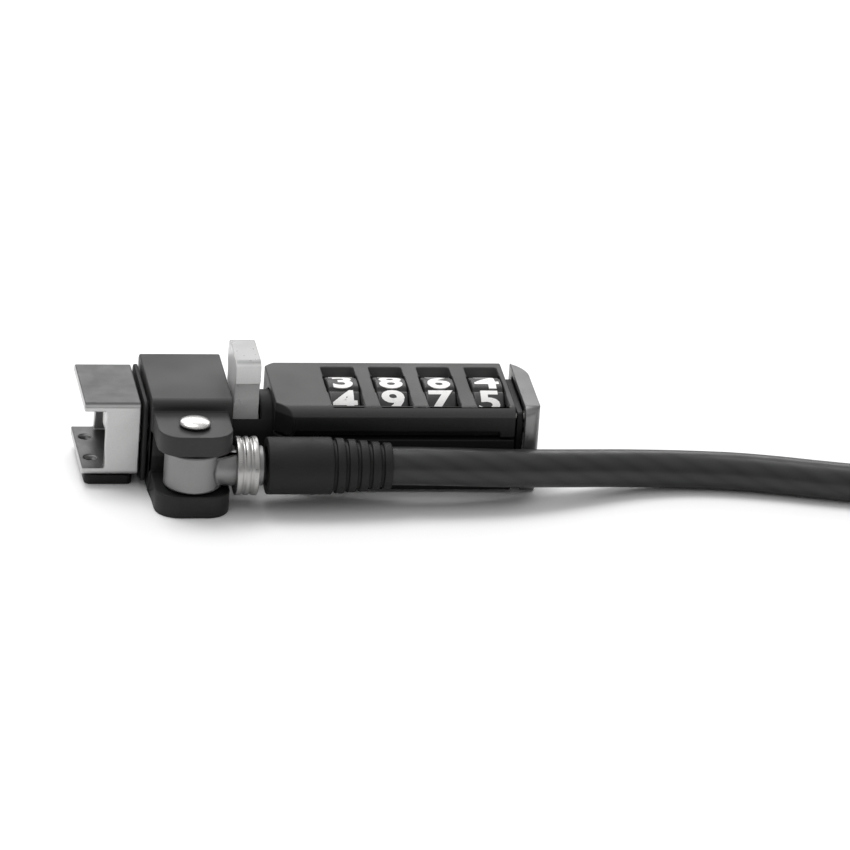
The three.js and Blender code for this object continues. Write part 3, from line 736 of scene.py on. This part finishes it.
def strain_relief():
    """The moulded sleeve over the crimp: a plain barrel, then ribs that taper to the cable."""
    lo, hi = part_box("strain_relief")
    big = (hi.z - lo.z) / 2
    bore = CABLE_DIAMETER / 2 + 0.04 * MM
    middle = (lo.x + hi.x) / 2
    corners = [(bore, middle), (bore, lo.x), (big, lo.x), (big, lo.x + BARREL)]
    pitch = (hi.x - lo.x - BARREL) / RIBS
    for i in range(RIBS):
        radius = big - 0.12 * MM - i * RIB_FALL
        x = lo.x + BARREL + i * pitch
        corners += [(radius - RIB_DEPTH, x), (radius - RIB_DEPTH, x + RIB_GAP)]
        corners += [(radius, x + RIB_GAP), (radius, x + pitch)]
    corners += [(bore, hi.x), (bore, middle)]
    profile = rounded(corners, 0.22 * MM, 3)[:-1]
    sleeve = lathe("cable_sleeve", profile, Vector((0, CABLE_Y, CABLE_Z)))
    settle(sleeve, "cable", RUBBER)
    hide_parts("strain_relief")
    return sleeve


cable, cable_line = security_cable()
loop = end_loop()
ferrule = loop_ferrule()
tie = coil_tie()
sleeve = strain_relief()


# ---- Cable fittings ------------------------------------------------------------------------


def crimp_ferrule():
    """The bright collar on the eye's shank, rolled in at two grooves."""
    lo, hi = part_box("crimp_ferrule")
    outer = (hi.z - lo.z) / 2
    bore = 2.56 * MM
    middle = (lo.x + hi.x) / 2
    groove = 0.25 * MM
    corners = [(bore, middle), (bore, lo.x), (outer, lo.x)]
    for share in (0.33, 0.67):
        x = lo.x + (hi.x - lo.x) * share
        corners += [(outer, x - 0.3 * MM), (outer - groove, x), (outer, x + 0.3 * MM)]
    corners += [(outer, hi.x), (bore, hi.x), (bore, middle)]
    collar = lathe(
        "crimp_collar", rounded(corners, 0.2 * MM)[:-1], Vector((0, CABLE_Y, CABLE_Z))
    )
    settle(collar, "cable", STEEL)
    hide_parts("crimp_ferrule")


crimp_ferrule()
refined("cable_eye", 0.35 * MM, "cable", SILVER, 3)


# ---- Dials ---------------------------------------------------------------------------------


def digit_mesh(digit):
    """One figure as a bold outline, cut into strips so that it can be bent round a dial."""
    text = bpy.data.curves.new("figure", "FONT")
    text.body = str(digit)
    text.size = 1.0
    text.offset = 0.032
    text.extrude = 0.02
    text.resolution_u = 4
    holder = bpy.data.objects.new("figure", text)
    bpy.context.collection.objects.link(holder)
    bpy.context.view_layer.update()
    mesh = bpy.data.meshes.new_from_object(holder.evaluated_get(bpy.context.evaluated_depsgraph_get()))
    bpy.data.objects.remove(holder)
    bpy.data.curves.remove(text)
    bm = bmesh.new()
    bm.from_mesh(mesh)
    bpy.data.meshes.remove(mesh)
    bmesh.ops.remove_doubles(bm, verts=bm.verts, dist=1e-5)
    for i in range(1, FIGURE_STRIPS):
        height = -0.05 + i * 0.07
        geometry = [*bm.verts, *bm.edges, *bm.faces]
        bmesh.ops.bisect_plane(bm, geom=geometry, plane_co=(0, height, 0), plane_no=(0, 1, 0))
    made = bpy.data.meshes.new("figure_" + str(digit))
    bm.to_mesh(made)
    bm.free()
    return made


def dial_digits(i, x, radius, figures):
    """Ten printed figures round a dial, upright when read from the front."""
    tall = max(v.co.y for v in figures[0].vertices) - min(v.co.y for v in figures[0].vertices)
    wide = max(v.co.x for v in figures[0].vertices) - min(v.co.x for v in figures[0].vertices)
    bm = bmesh.new()
    for place in range(DIGITS):
        mesh = figures[(DIAL_CODE[i] + place) % DIGITS]
        low, high = min(v.co.x for v in mesh.vertices), max(v.co.x for v in mesh.vertices)
        low_y = min(v.co.y for v in mesh.vertices)
        high_y = max(v.co.y for v in mesh.vertices)
        facing = math.pi / 2 + place * 2 * math.pi / DIGITS
        corners = []
        for v in mesh.vertices:
            along = (v.co.x - (low + high) / 2) / wide * DIGIT_WIDTH
            around = (v.co.y - (low_y + high_y) / 2) / tall * DIGIT_HEIGHT
            r = radius + (INK_PROUD if v.co.z > 0 else -INK_ROOT)
            a = facing - around / radius
            y, z = AXIS_Y + r * math.cos(a), AXIS_Z + r * math.sin(a)
            corners.append(bm.verts.new((x + along, y, z)))
        for face in mesh.polygons:
            bm.faces.new([corners[k] for k in face.vertices])
    piece = object_of(f"dial_{i + 1}_figures", bm)
    return settle(piece, f"dial_{i + 1}", WHITE)


def dial(i, figures):
    lo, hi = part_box(f"dial_{i + 1}")
    x, half = (lo.x + hi.x) / 2, (hi.x - lo.x) / 2
    radius = (hi.z - lo.z) / 2

    def grip(angle, r, along):
        """A rounded notch between each two figures."""
        if r < radius - 0.6 * MM:
            return r
        off = ((angle - math.pi / 2) * DIGITS / (2 * math.pi)) % 1 - 0.5
        return r - GRIP_DEPTH * math.exp(-((off / 0.085) ** 2))

    ring = lathe(
        f"dial_{i + 1}_ring",
        ring_profile(DIAL_BORE, radius, -half, half, DIAL_EDGE),
        Vector((x, AXIS_Y, AXIS_Z)),
        steps=240,
        warp=grip,
    )
    settle(ring, f"dial_{i + 1}", DIAL_BLACK)
    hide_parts(f"dial_{i + 1}")
    dial_digits(i, x, radius, figures)


figures = [digit_mesh(d) for d in range(DIGITS)]
for i in range(len(DIAL_CODE)):
    dial(i, figures)


# ---- Lever and rivet --------------------------------------------------------------------------


def turn_lever():
    """A thumb tab that widens at the top, on a ring round the spindle."""
    lo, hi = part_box("turn_lever")
    stem, tip = 3.3 * MM, (hi.y - lo.y) / 2
    top = hi.z - AXIS_Z
    outline = [(-stem, 0.6 * MM), (stem, 0.6 * MM), (stem, 5.0 * MM)]
    for i in range(9):
        a = i / 8 * math.pi / 2
        outline.append((stem + (tip - stem) * (1 - math.cos(a)), 5.0 * MM + 2.2 * MM * math.sin(a)))
    corner = 1.0 * MM
    for i in range(9):
        a = i / 8 * math.pi / 2
        outline.append((tip - corner + corner * math.cos(a), top - corner + corner * math.sin(a)))
    mirrored = [(-y, z) for y, z in reversed(outline[2:])]
    points = [(AXIS_Y + y, AXIS_Z + z) for y, z in outline + mirrored]
    tab = prism("lever_tab", points, lo.x + 0.1 * MM, hi.x - 0.1 * MM, 0.5 * MM, 4)
    settle(tab, "spindle", LEVER_SILVER, sharp=45)
    weigh_normals(tab)
    ring = lathe(
        "lever_ring",
        ring_profile(2.15 * MM, 3.3 * MM, lo.x, hi.x, 0.2 * MM),
        Vector((0, AXIS_Y, AXIS_Z)),
    )
    settle(ring, "spindle", LEVER_SILVER)
    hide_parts("turn_lever")


def pivot_rivet():
    """The rivet that the cable's eye turns on: a low dome above, a flat head below."""
    lo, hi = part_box("pivot_rivet")
    centre = Vector(((lo.x + hi.x) / 2, (lo.y + hi.y) / 2, 0))
    head, shank = (hi.x - lo.x) / 2, 1.3 * MM
    under = hi.z - 0.7 * MM
    seat = lo.z + 0.6 * MM
    shoulder = under + 0.2 * MM
    profile = [(0, lo.z), (head - 0.15 * MM, lo.z), (head, lo.z + 0.15 * MM), (head, seat)]
    profile += [(shank, seat), (shank, under), (head - 0.06 * MM, under), (head, under + 0.08 * MM)]
    for i in range(9):
        a = i / 8 * math.pi / 2
        profile.append((head * math.cos(a), shoulder + (hi.z - shoulder) * math.sin(a)))
    profile[-1] = (0, hi.z)
    rivet = lathe("pivot_rivet_domed", profile, centre, "Z", 48)
    settle(rivet, "lock", PIN_STEEL, sharp=50)
    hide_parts("pivot_rivet")


turn_lever()
pivot_rivet()


# ---- The rest of the lock, from its CAD shapes ---------------------------------------------

ROUNDED = [
    # node, edge radius in mm, body, material, slot
    ("upper_shell", 0.18, "lock", ZINC, "zinc"),
    ("lower_shell", 0.18, "lock", BLACK_ZINC, "black_zinc"),
    ("end_cap", 0.12, "lock", BLACK_ZINC, "black_zinc"),
    ("release_button", 0.15, "lock_rod", END_SILVER, "silver"),
    ("head_block", 0.2, "lock", HEAD_ZINC, "zinc"),
    ("neck_sleeve", 0.12, "lock", BLACK_ZINC, "black_zinc"),
    ("prong_collar", 0.12, "lock", PIN_STEEL, "steel"),
    ("face_pad", 0.12, "lock", RUBBER, "rubber"),
    ("t_bar_spindle", 0.12, "spindle", PIN_STEEL, "steel"),
    ("slot_bracket", 0.18, "bracket", BRACKET_SILVER, "silver"),
    ("bracket_pad", 0.15, "bracket", RUBBER, "rubber"),
]
for node, width, body, material, name_slot in ROUNDED:
    refined(node, width * MM, body, material)

CARRIED = {
    "shell_screw_1": PIN_STEEL,
    "shell_screw_2": PIN_STEEL,
    "end_cap_screw_1": PIN_STEEL,
    "end_cap_screw_2": PIN_STEEL,
    "axle_tube": PIN_STEEL,
    "detent_spring": SPRING_STEEL,
    "lock_rod": PIN_STEEL,
    "return_spring": SPRING_STEEL,
    "sleeve_pin_head": PIN_STEEL,
    "sleeve_pin_body": PIN_STEEL,
    "lever_pin": PIN_STEEL,
    "spindle_clip": SPRING_STEEL,
}
for i in range(1, 5):
    CARRIED[f"code_wheel_{i}"] = BRASS
for node, material in CARRIED.items():
    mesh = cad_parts[node].data
    mesh.materials.clear()
    mesh.materials.append(material)


# ---- Floor and light -----------------------------------------------------------------------


def floor():
    bm = bmesh.new()
    half = 6.0
    corners = ((-half, -half), (half, -half), (half, half), (-half, half))
    bm.faces.new([bm.verts.new((x, y, 0)) for x, y in corners])
    mesh = bpy.data.meshes.new("floor")
    bm.to_mesh(mesh)
    bm.free()
    made = bpy.data.objects.new("floor", mesh)
    bpy.context.collection.objects.link(made)
    mesh.materials.append(floor_paper())


def area_light(name, place, target, size, power):
    data = bpy.data.lights.new(name, "AREA")
    data.shape = "RECTANGLE"
    data.size, data.size_y = size
    data.energy = power
    light = bpy.data.objects.new(name, data)
    bpy.context.collection.objects.link(light)
    light.location = place
    light.rotation_euler = (Vector(target) - Vector(place)).to_track_quat("-Z", "Y").to_euler()


def studio():
    world = bpy.data.worlds.new("studio")
    world.use_nodes = True
    tree = world.node_tree
    background = tree.nodes["Background"]
    background.inputs["Strength"].default_value = 1.0
    direction = tree.nodes.new("ShaderNodeSeparateXYZ")
    tree.links.new(tree.nodes.new("ShaderNodeTexCoord").outputs["Generated"], direction.inputs[0])
    rise = tree.nodes.new("ShaderNodeMapRange")
    for socket, number in zip(rise.inputs[1:5], (0.0, 0.9, 0.2, 0.85)):
        socket.default_value = number
    tree.links.new(direction.outputs[2], rise.inputs[0])
    tree.links.new(rise.outputs[0], background.inputs["Color"])
    bpy.context.scene.world = world
    area_light("softbox_top", (-0.35, 0.5, 1.5), (0.02, 0, 0), (1.0, 0.8), 14)
    area_light("softbox_back", (0.3, 1.9, 1.1), (0.02, 0, 0), (2.2, 0.7), 16)


floor()
studio()
bpy.context.scene.view_settings.view_transform = "Standard"
